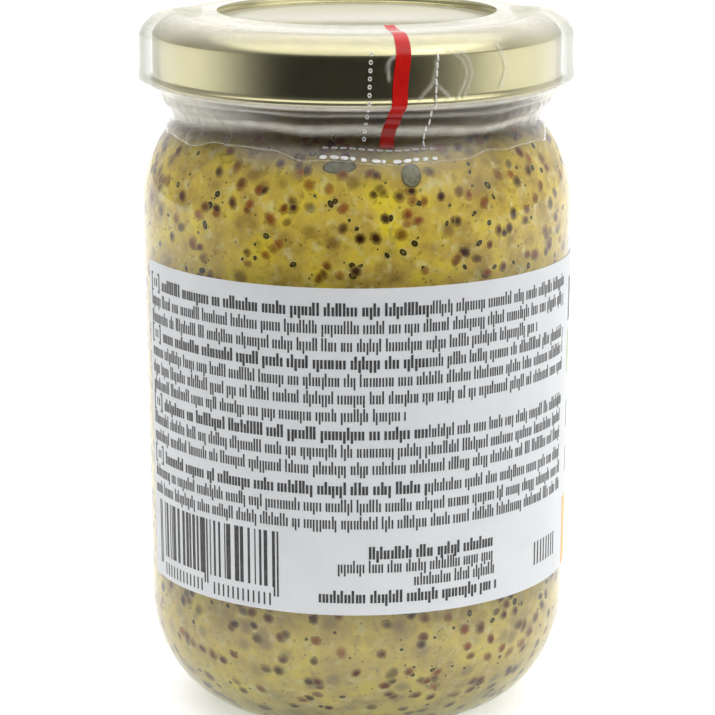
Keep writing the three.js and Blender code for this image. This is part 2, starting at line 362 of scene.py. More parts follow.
def domes(places, width, depth, proud, stretch, spin, rings, segments):
    """Egg shapes standing on a surface, their poles along its normal. Ring k is at angle t_k from the outer
    pole: sideways by width * sin t, drawn out by stretch and turned by spin, and outwards by
    depth * (cos t - 1) + proud. Returns the copies, the faces of one copy and, for each vertex, its angle t
    as a share of half a turn."""
    point, outward, sideways, upward = places
    count = len(point)
    tilt = np.pi * np.array(rings)[:, None]
    turn = TURN * np.arange(segments)[None, :] / segments
    flat = np.stack(np.broadcast_arrays(np.cos(turn) * np.sin(tilt), np.sin(turn) * np.sin(tilt)), -1)
    flat = flat.reshape(-1, 2)
    out = np.broadcast_to(np.cos(tilt), (len(rings), segments)).reshape(-1)
    flat = np.concatenate([flat, [[0, 0], [0, 0]]])
    out = np.concatenate([out, [1, -1]])
    across, along = flat[None, :, 0] * stretch[:, None], flat[None, :, 1] / stretch[:, None]
    x = (across * np.cos(spin)[:, None] - along * np.sin(spin)[:, None]) * width[:, None]
    y = (across * np.sin(spin)[:, None] + along * np.cos(spin)[:, None]) * width[:, None]
    rise = depth[:, None] * (out[None] - 1) + proud[:, None]
    shapes = (point[:, None] + x[..., None] * sideways[:, None] + y[..., None] * upward[:, None]
              + rise[..., None] * outward[:, None])
    last = (len(rings) - 1) * segments
    here = np.arange(segments)
    there = np.roll(here, -1)
    top, bottom = len(rings) * segments, len(rings) * segments + 1
    faces = [grid_quads(len(rings), segments, False, True),
             np.stack([np.full(segments, top), here, there], -1),
             np.stack([np.full(segments, bottom), there + last, here + last], -1)]
    share = np.concatenate([np.repeat(rings, segments), [0, 1]])
    return shapes, faces, np.broadcast_to(share, (count, len(share)))


# Paper label and its print

def label_radius(height):
    """Radius of the paper's outer face at a height."""
    return body_radius(height) + PAPER_LIFT + PAPER_SHEET


def slab_on_label(start, end, bottom, top, inner_lift, outer_lift, steps):
    """A curved sheet: a four-cornered section, between two lifts off the paper's face and two heights,
    carried from one azimuth in degrees to another."""
    azimuth = np.radians(np.linspace(start, end, steps + 1))[:, None]
    height = np.array([bottom, bottom, top, top])[None, :]
    lift = np.array([inner_lift, outer_lift, outer_lift, inner_lift])[None, :]
    return carried(polar(label_radius(height) + lift, azimuth, height), False)


BOX_FACES = [np.array([[0, 1, 3, 2], [4, 6, 7, 5], [0, 4, 5, 1], [2, 3, 7, 6], [0, 2, 6, 4], [1, 5, 7, 3]])]


def marks_on_label(left, right, bottom, top):
    """Thin boxes of ink on the paper, from arrays of their sides: left and right as azimuths in degrees,
    bottom and top as heights. Corner numbers count up by lift, then height, then azimuth."""
    azimuth = np.radians(np.stack([left, right], -1))[:, :, None, None]
    height = np.stack([bottom, top], -1)[:, None, :, None]
    lift = np.array([-INK_SHEET, INK_SHEET])[None, None, None, :]
    corners = polar(label_radius(height) + lift, azimuth, height)
    return repeated(corners.reshape(len(left), 8, 3), BOX_FACES)


def degrees_of(width):
    """An arc on the label, in millimetres, as degrees."""
    return np.degrees(width / BODY_RADIUS_HIGH)


STROKE_PITCH, BOLD_PITCH = 0.42, 0.5
STROKE_WIDTH, BOLD_WIDTH = 0.24, 0.35
STROKE_JITTER = 0.08
STROKE_LOW, STROKE_TALL, STROKE_HANG = 1.2, 1.75, 0.45
TALL_CHANCE, HANG_CHANCE = 0.26, 0.1
GROUP_SHORTEST, GROUP_LONGEST = 4, 13


def print_line(rng, start, end, height, bold):
    """One line of print that spells nothing: upright strokes at an even pitch, in groups with a stroke left
    out between them. Most strokes have the low height, some stand taller and a few hang lower."""
    pitch = degrees_of(BOLD_PITCH if bold else STROKE_PITCH)
    width = degrees_of(BOLD_WIDTH if bold else STROKE_WIDTH)
    count = int((end - start) / pitch)
    gaps = np.cumsum(rng.integers(GROUP_SHORTEST, GROUP_LONGEST + 1, count))
    drawn = ~np.isin(np.arange(count), gaps)
    left = start + pitch * np.arange(count) + degrees_of(STROKE_JITTER) * rng.random(count)
    chance = rng.random(count)
    top = height + np.where(chance < TALL_CHANCE, STROKE_TALL, STROKE_LOW)
    bottom = height - np.where(chance > 1 - HANG_CHANCE, STROKE_HANG, 0)
    return np.stack([left, left + width, bottom, top])[:, drawn]


# The shrunk film

FILM_GAP = 0.08
FILM_OVER_ROUND = CAP_ROUND + FILM_GAP
FILM_PATH = outline([(19.2, 97.5), (20.6, 97.25), (22.5, 97.13)],
                    arc(CAP_ROUND_MIDDLE, (FILM_OVER_ROUND, FILM_OVER_ROUND), 90, CAP_KNEE + 4, 4),
                    [(28.21, 94.0), (28.22, 92.0), (28.25, 89.6), (28.42, 88.3), (28.1, 87.6), (27.25, 87.1),
                     (26.95, 86.5), (26.9, 85.95), (26.6, 85.4), (25.95, 84.85), (25.7, 84.2), (25.55, 83.4),
                     (25.75, 82.6), (26.25, 81.85), (26.8, 81.1), (27.4, 80.1)])
FILM_LINE = smooth_path(FILM_PATH, 400)
FILM_SHARE = np.linspace(0, 1, len(FILM_LINE))
FILM_STEP = np.gradient(FILM_LINE, axis=0)
FILM_NORMAL = np.stack([-FILM_STEP[:, 1], FILM_STEP[:, 0]], -1) / np.linalg.norm(FILM_STEP, axis=1)[:, None]
JAR_LINE = jar_outside()
RISING = 60  # number of the point from which both lines only go down or only go up
FILM_CLEARANCE = 0.05
FOLD_FADE = (85.6, 88.6)  # heights between which the folds die out below the cap
FOLD_START = (0.06, 0.3)  # shares of the path between which they grow on the cap's top
NECK_FADE = (85.5, 88.0)  # heights between which the neck's waves die out on the cap
CREASE_RELIEF, CREASE_WIDTH = 0.07, 0.17
SIDE_TURN = 12.0  # azimuth of the film's calmest part, half way between the gathered sides
TORN_AZIMUTH, TORN_WIDTH = 7.0, 17.0  # where the hem hangs lowest, torn along its slits
HEM_START = 0.8  # share of the path from which the hem is drawn up
HEM_TUCK = 0.7  # how far it goes in for each millimetre up

# Waves round the film: (count, size, start)
PUCKERS = [(61, 0.05, 0.4), (97, 0.04, 2.0), (37, 0.05, 1.1)]
PLEAT_WAVES = [(2, 0.2, 3.1), (3, 0.2, 2.2), (7, 0.14, 0.3), (13, 0.08, 1.7)]
HEM_WAVES = [(9, 0.3, 0.9), (17, 0.2, 2.4), (29, 0.1, 0.2)]

# Creases pressed into the film over the skirt, most of them right of the tear strip: points (azimuth, height)
SKIRT_CREASES = [[(21.6, 94.2), (21.0, 92.4), (20.2, 90.9), (16.6, 88.9)],
                 [(20.4, 91.2), (22.5, 90.2), (25.0, 89.1)],
                 [(24.0, 95.3), (28.6, 93.8), (30.2, 91.6), (27.6, 88.9)],
                 [(25.6, 95.4), (30.0, 94.2), (31.8, 91.8), (29.6, 89.0)],
                 [(11.0, 95.0), (8.2, 93.6), (8.6, 91.5)],
                 [(41.0, 95.2), (43.5, 92.0), (41.5, 89.6)],
                 [(150.0, 95.3), (153.0, 92.5), (151.0, 90.0)],
                 [(-128.0, 95.2), (-131.5, 92.5), (-134.0, 89.6)]]


def share_at(height):
    """Share of the way along the film's path where it comes down to a height."""
    return np.interp(-np.asarray(height, float), -FILM_LINE[RISING:, 1], FILM_SHARE[RISING:])


def height_at(share):
    """Height of the film's path at a share of the way along it."""
    return np.interp(share, FILM_SHARE, FILM_LINE[:, 1])


def crease_height(azimuth, height):
    """Relief of the creases, from 0 to 1: a bell across the distance to the nearest of each crease's points,
    in millimetres."""
    relief = np.zeros(np.broadcast(azimuth, height).shape)
    across = np.radians(CAP_RADIUS)
    for crease in SKIRT_CREASES:
        for middle, level in smooth_path(np.array(crease) * (across, 1), 28):
            distance = np.hypot(around(azimuth, middle / across) * across, height - level)
            relief = np.maximum(relief, bell(distance, 0, CREASE_WIDTH))
    return relief


def waves(azimuth, *terms):
    """A wavy line round the jar: the sum of size * sin(count * azimuth + start) over the terms."""
    angle = np.radians(azimuth)
    return sum(size * np.sin(count * angle + start) for count, size, start in terms)


def fold_of(azimuth):
    """How near an azimuth is to one of the two folds that the film keeps from its flat tube, from 0 to 1."""
    return np.maximum(*(bell(around(azimuth, middle), 0, FOLD_WIDTH) for middle in FOLD_AZIMUTHS))


def side_of(azimuth):
    """How far round to a gathered side of the film an azimuth is: the size of the sine, from 0 to 1."""
    return np.abs(np.sin(np.radians(azimuth - SIDE_TURN)))


def film_surface(azimuth, share, lift=0.0):
    """The film at an azimuth in degrees and a share of the way along its path. To the path are added the two
    folds of the flat tube and the creases, both along the path's normal, waves in the pleats, fine puckers
    and a hem that is drawn up except where it is torn. The film stays clear of the glass."""
    azimuth, share = np.broadcast_arrays(np.asarray(azimuth, float), np.asarray(share, float))
    radius = np.interp(share, FILM_SHARE, FILM_LINE[:, 0])
    height = height_at(share)
    out_r, out_z = (np.interp(share, FILM_SHARE, column) for column in FILM_NORMAL.T)
    on_skirt = smooth_step(height, *FOLD_FADE) * smooth_step(share, *FOLD_START)
    in_neck = 1 - smooth_step(height, *NECK_FADE)
    slack = on_skirt * (FOLD_REACH * fold_of(azimuth) + CREASE_RELIEF * crease_height(azimuth, height))
    radius, height = radius + slack * out_r, height + 0.5 * slack * np.maximum(out_z, 0)
    side = side_of(azimuth)
    radius = radius + waves(azimuth, *PUCKERS) * in_neck * (0.3 + 0.7 * side)
    height = height + in_neck * waves(azimuth, *PLEAT_WAVES)
    torn_part = bell(around(azimuth, TORN_AZIMUTH), 0, TORN_WIDTH)
    gathered = 0.95 + 0.4 * side + waves(azimuth, *HEM_WAVES)
    raised = smooth_step(share, HEM_START, 1) * (1 - torn_part) * gathered
    radius, height = radius - HEM_TUCK * raised, height + raised
    glass = np.interp(height, JAR_LINE[RISING:, 1], JAR_LINE[RISING:, 0])
    clear = np.where(height < CAP_BOTTOM, glass + FILM_CLEARANCE, 0)
    return polar(np.maximum(radius, clear) + lift, np.radians(azimuth), height)


def film_shape():
    """The film as a closed sheet: its outer face down the path and its inner face back up, round the jar.
    Also returns how white each point is, from the film's milkiness and painted highlights, and how far it
    lies in a fold, where the film is painted a shade greyer."""
    azimuth = np.linspace(0, 360, FILM_SEGMENTS, endpoint=False)[:, None]
    share = np.linspace(0, 1, FILM_STEPS)[None, :]
    outer = film_surface(azimuth, share, FILM_SHEET)
    inner = film_surface(azimuth, share)
    sections = np.concatenate([outer[:, ::-1], inner], 1)
    shares = np.concatenate([share[:, ::-1], share], 1)
    # painted shade: how far a point lies in a fold, where the material greys the film
    doubled = fold_of(azimuth) * smooth_step(height_at(shares), *FOLD_FADE)
    return carried(sections, True), haze_of(azimuth, shares), doubled


CURL_PLEAT, UPPER_PLEAT, LOWER_PLEAT = 87.75, 86.6, 84.5  # heights of the film's pleats, where white bands are painted as reflections


def haze_of(azimuth, share):
    """How white the film is, from 0 to 1, partly its own milkiness and partly painted light: clear over the
    cap apart from the painted highlights on its creases and its top edge, with painted reflections in bands
    on the pleats under the cap, milky with painted highlights at the sides of the neck, where the film is
    gathered, and a painted highlight along its hem."""
    azimuth, share = np.broadcast_arrays(azimuth, share)
    height = height_at(share)
    side = smooth_step(side_of(azimuth), 0.4, 0.95)
    fold = fold_of(azimuth)
    # painted reflections on the pleats; the neck's sides are gathered milky film with painted highlights;
    # hem, creases and top edge get painted highlights
    pleats = np.maximum.reduce([0.6 * (1 - fold) * bell(height, CURL_PLEAT, 0.35),
                                (0.25 + 0.35 * side) * bell(height, UPPER_PLEAT, 0.25),
                                0.52 * bell(height, LOWER_PLEAT, 0.6)])
    pleats = pleats * (0.75 + 0.25 * side)
    neck = 0.42 * side ** 2 * smooth_step(height, 81.5, 84.5) * (1 - smooth_step(height, 87, 88.5))
    hem = 0.2 * smooth_step(share, 0.985, 1)
    creases = 0.3 * crease_height(azimuth, height) * smooth_step(height, 88, 89)
    skirt = 0.03 * side + 0.06 * fold + (0.2 + 0.1 * side) * smooth_step(height, 94.3, 97)
    return np.clip(np.maximum.reduce([pleats, neck, hem, creases, skirt]), 0, 1)


def leaning(top, bottom, share):
    """Azimuth of a line on the film that is nearly upright on the cap and leans on the neck."""
    height = height_at(share)
    on_cap, on_neck, bend = 0.3, 0.7, 89.5
    lean = on_cap * (1 - smooth_step(height, bend, 97)) + on_neck * (1 - smooth_step(height, 82, bend))
    return top + (bottom - top) * lean


def strip_azimuth(share):
    """Azimuth of the tear strip's middle."""
    return leaning(STRIP_TOP_AZIMUTH, STRIP_BOTTOM_AZIMUTH, share)


def strip_shape():
    """A flat ribbon: a section of 2 by 5 corners carried down the film's outer face."""
    share = np.linspace(0, share_at(STRIP_END), 90)[:, None]
    half = np.degrees(STRIP_WIDTH / 2 / CAP_RADIUS)
    azimuth = strip_azimuth(share) + np.linspace(-half, half, 5)[None, :]
    lift = FILM_SHEET + STRIP_LIFT
    lower = film_surface(azimuth, share, lift)
    upper = film_surface(azimuth, share, lift + STRIP_SHEET)
    return carried(np.concatenate([lower[:, ::-1], upper], 1), False)


def film_frames(azimuth, share):
    """Places on the film's outer face, with unit directions round the jar, down the path and outwards."""
    small = 1e-3
    place = film_surface(azimuth, share, FILM_SHEET)
    around_it = film_surface(azimuth + 100 * small, share, FILM_SHEET) - place
    down = film_surface(azimuth, share + small, FILM_SHEET) - place
    around_it /= np.linalg.norm(around_it, axis=-1, keepdims=True)
    down /= np.linalg.norm(down, axis=-1, keepdims=True)
    return place, around_it, down, np.cross(down, around_it)


def rings_on_film(azimuth, share, wide, tall, thick):
    """Small raised rims of punched holes: a torus at each place, stretched to wide by tall."""
    place, side, down, out = (v[:, None, None, :] for v in film_frames(azimuth, share))
    turn = (TURN * np.arange(8) / 8)[None, :, None, None]
    roll = (TURN * np.arange(4) / 4)[None, None, :, None]
    reach = 1 + thick / wide * np.cos(roll)
    shapes = (place + wide * np.cos(turn) * reach * side + tall * np.sin(turn) * reach * down
              + thick * np.sin(roll) * out)
    return repeated(shapes.reshape(len(azimuth), 32, 3), [grid_quads(8, 4, True, True)[:, ::-1]])


def beads_on_film(azimuth, share, wide, tall, thick):
    """Small gathers in the film: egg shapes of half sizes wide, tall and thick, centred on its outer face."""
    place, side, down, out = film_frames(azimuth, share)
    even = np.ones(len(azimuth))
    width, stretch = np.sqrt(wide * tall) * even, np.sqrt(wide / tall) * even
    shapes, faces, _ = domes((place, out, side, -down), width, thick * even, thick * even, stretch, 0 * even,
                             [0.15, 0.35, 0.65, 0.85], 10)
    return repeated(shapes, faces)


# Materials

def linear(code):
    """A linear RGBA colour from an sRGB hex code."""
    parts = np.array([int(code[k:k + 2], 16) for k in (0, 2, 4)]) / 255
    curve = np.where(parts <= 0.04045, parts / 12.92, ((parts + 0.055) / 1.055) ** 2.4)
    return (*curve.tolist(), 1.0)


def add(tree, kind, inputs=None, **settings):
    """Adds a node. inputs maps a socket's name or number to a value, or to a socket that is linked to it."""
    made = tree.nodes.new(kind)
    for key, value in settings.items():
        setattr(made, key, value)
    for key, value in (inputs or {}).items():
        if isinstance(value, bpy.types.NodeSocket):
            tree.links.new(value, made.inputs[key])
        else:
            made.inputs[key].default_value = value
    return made


def per_metre(size):
    """Scale of a pattern whose features are about size millimetres across."""
    return 1000 / size


def new_material(name):
    """An empty node material and its tree."""
    material = bpy.data.materials.new(name)
    material.use_nodes = True
    material.node_tree.nodes.clear()
    return material, material.node_tree


def finished(material, shader, **others):
    """The material, with a shader and what else is named linked to its output."""
    add(material.node_tree, "ShaderNodeOutputMaterial", {"Surface": shader, **others})
    return material


def principled(tree, inputs):
    """A Principled shader with these inputs."""
    return add(tree, "ShaderNodeBsdfPrincipled", inputs).outputs[0]


def plainly(material, inputs):
    """The material as one Principled shader with these inputs."""
    return finished(material, principled(material.node_tree, inputs))


def see_through(tree, colour):
    """A shader that lets light straight through, tinted."""
    return add(tree, "ShaderNodeBsdfTransparent", {"Color": colour}).outputs[0]


def blend(tree, share, first, second):
    """Mixes two shaders by a share."""
    return add(tree, "ShaderNodeMixShader", {0: share, 1: first, 2: second}).outputs[0]


def mix(tree, share, first, second):
    """Mixes two colours by a share."""
    return add(tree, "ShaderNodeMix", {0: share, 6: first, 7: second}, data_type="RGBA").outputs[2]


def ramp(tree, value, stops):
    """A colour ramp: stops are (place, hex code)."""
    made = add(tree, "ShaderNodeValToRGB", {"Fac": value})
    colours = made.color_ramp.elements
    while len(colours) < len(stops):
        colours.new(0.5)
    for element, (place, code) in zip(colours, stops):
        element.position = place
        element.color = linear(code)
    return made.outputs["Color"]


def object_place(tree):
    """The point that is shaded, in metres."""
    return add(tree, "ShaderNodeTexCoord").outputs["Object"]


def upward_part(tree, vector):
    """Height of a point, or rise of a direction."""
    return add(tree, "ShaderNodeSeparateXYZ", {0: vector}).outputs["Z"]


def vertex_value(tree, name):
    """A number that the mesh holds for each vertex."""
    return add(tree, "ShaderNodeAttribute", attribute_name=name).outputs["Fac"]


def noise(tree, place, size, **inputs):
    """Soft noise with features of about size millimetres."""
    made = add(tree, "ShaderNodeTexNoise", {"Vector": place, "Scale": per_metre(size), **inputs})
    return made.outputs["Fac"]


def cells(tree, place, size):
    """Voronoi cells of about size millimetres."""
    return add(tree, "ShaderNodeTexVoronoi", {"Vector": place, "Scale": per_metre(size)}).outputs


SMOOTH = "SMOOTHSTEP"


def span(tree, value, low, high, start=0.0, end=1.0, kind="LINEAR"):
    """A value brought from the range low to high to the range start to end, and held at its ends."""
    made = add(tree, "ShaderNodeMapRange", {0: value, 1: low, 2: high, 3: start, 4: end},
               interpolation_type=kind)
    return made.outputs[0]


def product(tree, first, second, **settings):
    """One value times another."""
    return add(tree, "ShaderNodeMath", {0: first, 1: second}, operation="MULTIPLY", **settings).outputs[0]


def dot(tree, first, second):
    """Dot product of two vectors."""
    made = add(tree, "ShaderNodeVectorMath", {0: first, 1: second}, operation="DOT_PRODUCT")
    return made.outputs["Value"]


def bumped(tree, height, strength, depth):
    """A normal bent by a relief of depth millimetres."""
    made = add(tree, "ShaderNodeBump", {"Height": height, "Strength": strength, "Distance": depth * MM})
    return made.outputs[0]


def paste_colour(tree):
    """Colour of the mustard paste: ground yellow bran in a thin sauce gives soft olive and bright yellow
    patches of some 5 mm, cream husk and tan bran flecks of one or two, seeds that lie deeper as blurred brown
    clouds, and fine specks. Lower down it is paler. In the neck it is darkened to brown: painted shade
    under the cap."""
    place = object_place(tree)
    patches = noise(tree, place, 5, Detail=5.0, Roughness=0.6)
    colour = ramp(tree, patches, [(0.32, "ac8c42"), (0.45, "d0ae50"), (0.56, "e2c24e"), (0.68, "f0d23c")])
    husk = span(tree, noise(tree, place, 1.6, Detail=3.0), 0.54, 0.72, 0.0, 0.6)
    colour = mix(tree, husk, colour, linear("e8dca4"))
    bran = span(tree, noise(tree, place, 1.1, Detail=4.0), 0.56, 0.74, 0.0, 0.6)
    colour = mix(tree, bran, colour, linear("96742e"))
    deep = cells(tree, place, 2.9)
    near = span(tree, deep["Distance"], 0.12, 0.5, 1.0, 0.0, SMOOTH)
    chosen = add(tree, "ShaderNodeSeparateColor", {"Color": deep["Color"]}).outputs["Red"]
    cloud = product(tree, near, span(tree, chosen, 0.3, 0.85, 0.0, 0.75))
    colour = mix(tree, cloud, colour, linear("7d5a30"))
    specks = span(tree, cells(tree, place, 1.3)["Distance"], 0.1, 0.2, 0.6, 0.0)
    colour = mix(tree, specks, colour, linear("75642c"))
    height = upward_part(tree, place)
    # paler towards the bottom
    paler_lower_down = span(tree, height, 15 * MM, 70 * MM, 0.28, 0.0)
    colour = mix(tree, paler_lower_down, colour, linear("dccfa6"))
    # painted shade: the paste turns dark brown in the neck, where the cap shades it
    neck_shade = span(tree, height, 78.5 * MM, 82.5 * MM, 0.0, 0.8, SMOOTH)
    return mix(tree, neck_shade, colour, linear("4a3016"))


def mustard_paste():
    """Wholegrain mustard: a moist coarse paste, pressed smooth by the glass."""
    material, tree = new_material("wholegrain_mustard_paste")
    return plainly(material, {"Base Color": paste_colour(tree), "Roughness": 0.55, "Specular IOR Level": 0.0})


def seed_coat():
    """Mustard seed coat, a dull pitted skin from red-brown to nearly black. Paste closes over each seed, so
    that its edge melts into the paste."""
    material, tree = new_material("brown_mustard_seed_coat")
    tone = vertex_value(tree, "tone")
    coat = ramp(tree, tone, [(0.0, "30100a"), (0.45, "4a160c"), (0.75, "76280e"), (1.0, "a05420")])
    pits = span(tree, noise(tree, object_place(tree), 0.35), 0.4, 0.8, 0.0, 0.5)
    coat = mix(tree, pits, coat, linear("3c160e"))
    colour = mix(tree, vertex_value(tree, "shown"), paste_colour(tree), coat)
    return plainly(material, {"Base Color": colour, "Roughness": 0.6, "Specular IOR Level": 0.0})


def bubble_skin():
    """Air bubbles against the glass, with painted shade: a pale rim of sauce, a dark ring painted as the
    shade where the hollow turns away, and an olive middle painted as its back wall in shade, darker in
    patches."""
    material, tree = new_material("air_bubble_in_paste")
    ring, tone = vertex_value(tree, "ring"), vertex_value(tree, "tone")
    # painted shade: the middle is the hollow's back wall darkened as if in shade, with darker patches
    middle = ramp(tree, tone, [(0.0, "4a3a18"), (0.5, "6e5c28"), (0.8, "8c7e46"), (1.0, "8f8a70")])
    dark_patches = span(tree, noise(tree, object_place(tree), 0.7, Detail=2.0), 0.4, 0.7, 0.0, 0.6)
    middle = mix(tree, dark_patches, middle, linear("4c4526"))
    # painted shade: a dark ring where the hollow turns away
    hollow = mix(tree, ramp(tree, ring, [(0.35, "000000"), (0.55, "ffffff")]), middle, linear("33260f"))
    colour = mix(tree, ramp(tree, ring, [(0.78, "000000"), (0.92, "ffffff")]), hollow, linear("d8c878"))
    return plainly(material, {"Base Color": colour, "Roughness": 0.4, "Specular IOR Level": 0.0})


def flint_glass():
    """Soda-lime flint glass, blown and fire polished: clear, but grey-green where one looks along the wall,
    with sharp reflections and the slow ripple of a moulded wall. It lets light straight through to what it
    holds."""
    material, tree = new_material("flint_glass_blown")
    ripple = bumped(tree, noise(tree, object_place(tree), 14), 0.06, 0.4)
    wall = principled(tree, {"Base Color": linear("f6fbf6"), "Roughness": 0.0, "IOR": 1.5,
                             "Transmission Weight": 1.0, "Normal": ripple})
    through = see_through(tree, linear("f3f8f3"))
    shadow = add(tree, "ShaderNodeLightPath").outputs["Is Shadow Ray"]
    tint = add(tree, "ShaderNodeVolumeAbsorption", {"Color": linear("c4dde6"), "Density": 34.0}).outputs[0]
    return finished(material, blend(tree, shadow, wall, through), Volume=tint)


def gold_lacquer():
    """Tinplate under a thin gold lacquer, pressed: a mirror-like pale gold with the faint stains and
    orange-peel of coated sheet metal."""
    material, tree = new_material("gold_lacquered_tinplate")
    place = object_place(tree)
    peel = noise(tree, place, 1.6, Detail=3.0)
    colour = ramp(tree, noise(tree, place, 11), [(0.3, "b5af88"), (0.7, "bdb790")])
    gloss = span(tree, peel, 0.0, 1.0, 0.1, 0.2)
    return plainly(material, {"Base Color": colour, "Metallic": 1.0, "Roughness": gloss,
                              "Normal": bumped(tree, peel, 0.02, 0.1)})


def label_paper():
    """Coated label paper: cool white and half matt, with a faint cloudiness and fibre grain of about 0.4 mm,
    drawn coarser than the real fibres so that it shows."""
    material, tree = new_material("coated_label_paper")
    place = object_place(tree)
    colour = ramp(tree, noise(tree, place, 6, Detail=5.0), [(0.3, "c6c8ca"), (0.7, "cdcfd1")])
    fibre = bumped(tree, noise(tree, place, 0.4), 0.08, 0.05)
    return plainly(material, {"Base Color": colour, "Roughness": 0.5, "Normal": fibre})


def printing_ink(name, code):
    """Offset ink on coated paper: an even half-matt tone, a little thin in places."""
    material, tree = new_material(name)
    thin = span(tree, noise(tree, object_place(tree), 0.8), 0.35, 0.8, 0.0, 0.05)
    colour = mix(tree, thin, linear(code), linear("e4e6ea"))
    return plainly(material, {"Base Color": colour, "Roughness": 0.45})


def shrink_film():
    """Clear polyvinyl film, shrunk by heat: see-through with a glossy sheen and finely crinkled. A painted
    grey shade
    tints its two folds, and white is mixed in where it is gathered or creased and on its pleats, hem and top
    edge:
    partly the film's own milkiness, partly painted highlights and reflections."""
    material, tree = new_material("clear_shrunk_film")
    drawn = add(tree, "ShaderNodeMapping", {"Vector": object_place(tree), "Scale": (1, 1, 0.3)}).outputs[0]
    crinkle = noise(tree, drawn, 2.5, Detail=3.0)
    bent = bumped(tree, crinkle, 0.12, 0.2)
    # painted shade: the film is tinted grey in its two folds, for the grey edge where it turns away at the
    # sides
    tint = ramp(tree, vertex_value(tree, "doubled"), [(0.0, "fcfcfc"), (0.8, "e4e5e2")])
    clear = see_through(tree, tint)
    gloss = add(tree, "ShaderNodeBsdfGlossy", {"Color": linear("ffffff"), "Roughness": 0.08, "Normal": bent})
    fresnel = add(tree, "ShaderNodeFresnel", {"IOR": 1.22, "Normal": bent}).outputs[0]
    inside = add(tree, "ShaderNodeNewGeometry").outputs["Backfacing"]
    outside = add(tree, "ShaderNodeMath", {0: 1.0, 1: inside}, operation="SUBTRACT").outputs[0]
    sheet = blend(tree, product(tree, fresnel, outside), clear, gloss.outputs[0])
    patchy = span(tree, crinkle, 0.35, 0.65, 0.8, 1.1)
    # white mixed in: partly the film's own milkiness, partly painted highlights and reflections
    milky = product(tree, vertex_value(tree, "haze"), patchy, use_clamp=True)
    milk = add(tree, "ShaderNodeBsdfDiffuse", {"Color": linear("f2efe2")}).outputs[0]
    return finished(material, blend(tree, milky, sheet, milk))


def red_tape():
    """Red film tape: a saturated glossy plastic ribbon with a faint grain. On the neck it is painted a deeper
    red, as shade under the cap."""
    material, tree = new_material("red_film_tape")
    place = object_place(tree)
    colour = ramp(tree, noise(tree, place, 1.5), [(0.3, "b0120c"), (0.7, "be1810")])
    # painted shade: the tape darkens on the neck, under the cap
    gathered = span(tree, upward_part(tree, place), 86 * MM, 88.5 * MM, 0.75, 0.0)
    colour = mix(tree, gathered, colour, linear("7c1410"))
    return plainly(material, {"Base Color": colour, "Roughness": 0.22, "Specular IOR Level": 0.25})


def film_scar_and_glint():
    """Film that was punched through: its whitened edges, also painted white as a highlight for their glints.
    """
    material, tree = new_material("whitened_film_edge_and_glint")
    # white: partly the whitened punched edge, partly a painted highlight
    colour = ramp(tree, noise(tree, object_place(tree), 0.5), [(0.3, "d8d8d4"), (0.7, "ffffff")])
    return plainly(material, {"Base Color": colour, "Roughness": 0.2})


# The pieces

def make_filling():
    """The paste, the seeds, the bubbles and the air pockets that lie against the glass."""
    piece("mustard_paste", turned(mustard_profile()), mustard_paste(), "mustard", replaces="mustard")
    rng = np.random.default_rng(11)
    make_seeds(rng)
    make_bubbles(rng)


SEED_DENSITY, BUBBLE_DENSITY = 0.12, 0.11  # to a square millimetre
SEED_RINGS = [0.1, 0.22, 0.36, 0.7]
BUBBLE_RINGS = [0.12, 0.25, 0.38, 0.5]
POCKET_RINGS = [0.15, 0.3, 0.42, 0.47, 0.5]
POCKET_AZIMUTHS, POCKET_HEIGHTS = [-5.0, 15.6], [79.4, 78.3]


def make_seeds(rng):
    """Seeds pressed against the glass, some with more paste over them than others."""
    places = random_spots(rng, SEED_DENSITY)
    count = len(places[0])
    width = 0.85 + 0.42 * rng.random(count)
    proud = 0.1 + 0.13 * rng.random(count)
    stretch = 1 + 0.18 * rng.random(count)
    spin = TURN * rng.random(count)
    shapes, faces, share = domes(places, width, 0.4 * width, proud, stretch, spin, SEED_RINGS, 7)
    cover = 0.6 + 0.4 * rng.random(count) ** 0.5
    tone = np.repeat(rng.random(count)[:, None], shapes.shape[1], 1)
    piece("mustard_seeds", repeated(shapes, faces), seed_coat(), "mustard", tone=tone,
          shown=cover[:, None] * (1 - smooth_step(share, 0.08, 0.36)))


def make_bubbles(rng):
    """Small round bubbles, and two flat pockets of air under the film's hem."""
    places = random_spots(rng, BUBBLE_DENSITY)
    count = len(places[0])
    width = 0.12 + 0.5 * rng.random(count) ** 2.6
    stretch = 1 + 0.25 * rng.random(count)
    spin = TURN * rng.random(count)
    shapes, faces, share = domes(places, width, 0.16 * width, 0.17 * width, stretch, spin, BUBBLE_RINGS, 9)
    tone = np.repeat(0.8 * rng.random(count)[:, None], shapes.shape[1], 1)
    skin = bubble_skin()
    piece("air_bubbles", repeated(shapes, faces), skin, "mustard", tone=tone, ring=np.sin(np.pi * share))
    at_height = np.interp(POCKET_HEIGHTS, FILLING_LINE[:, 1], np.arange(len(FILLING_LINE)))
    pockets = spots(np.radians(POCKET_AZIMUTHS), at_height)
    width, stretch, spin = np.array([1.4, 1.45]), np.array([1.55, 1.1]), np.radians([4.0, 80.0])
    shapes, faces, share = domes(pockets, width, 0.1 * width, 0.12 * width, stretch, spin, POCKET_RINGS, 36)
    piece("air_pockets", repeated(shapes, faces), skin, "mustard", tone=np.full(shapes.shape[:2], 1.0),
          ring=0.9 * smooth_step(share, 0.3, 0.47))


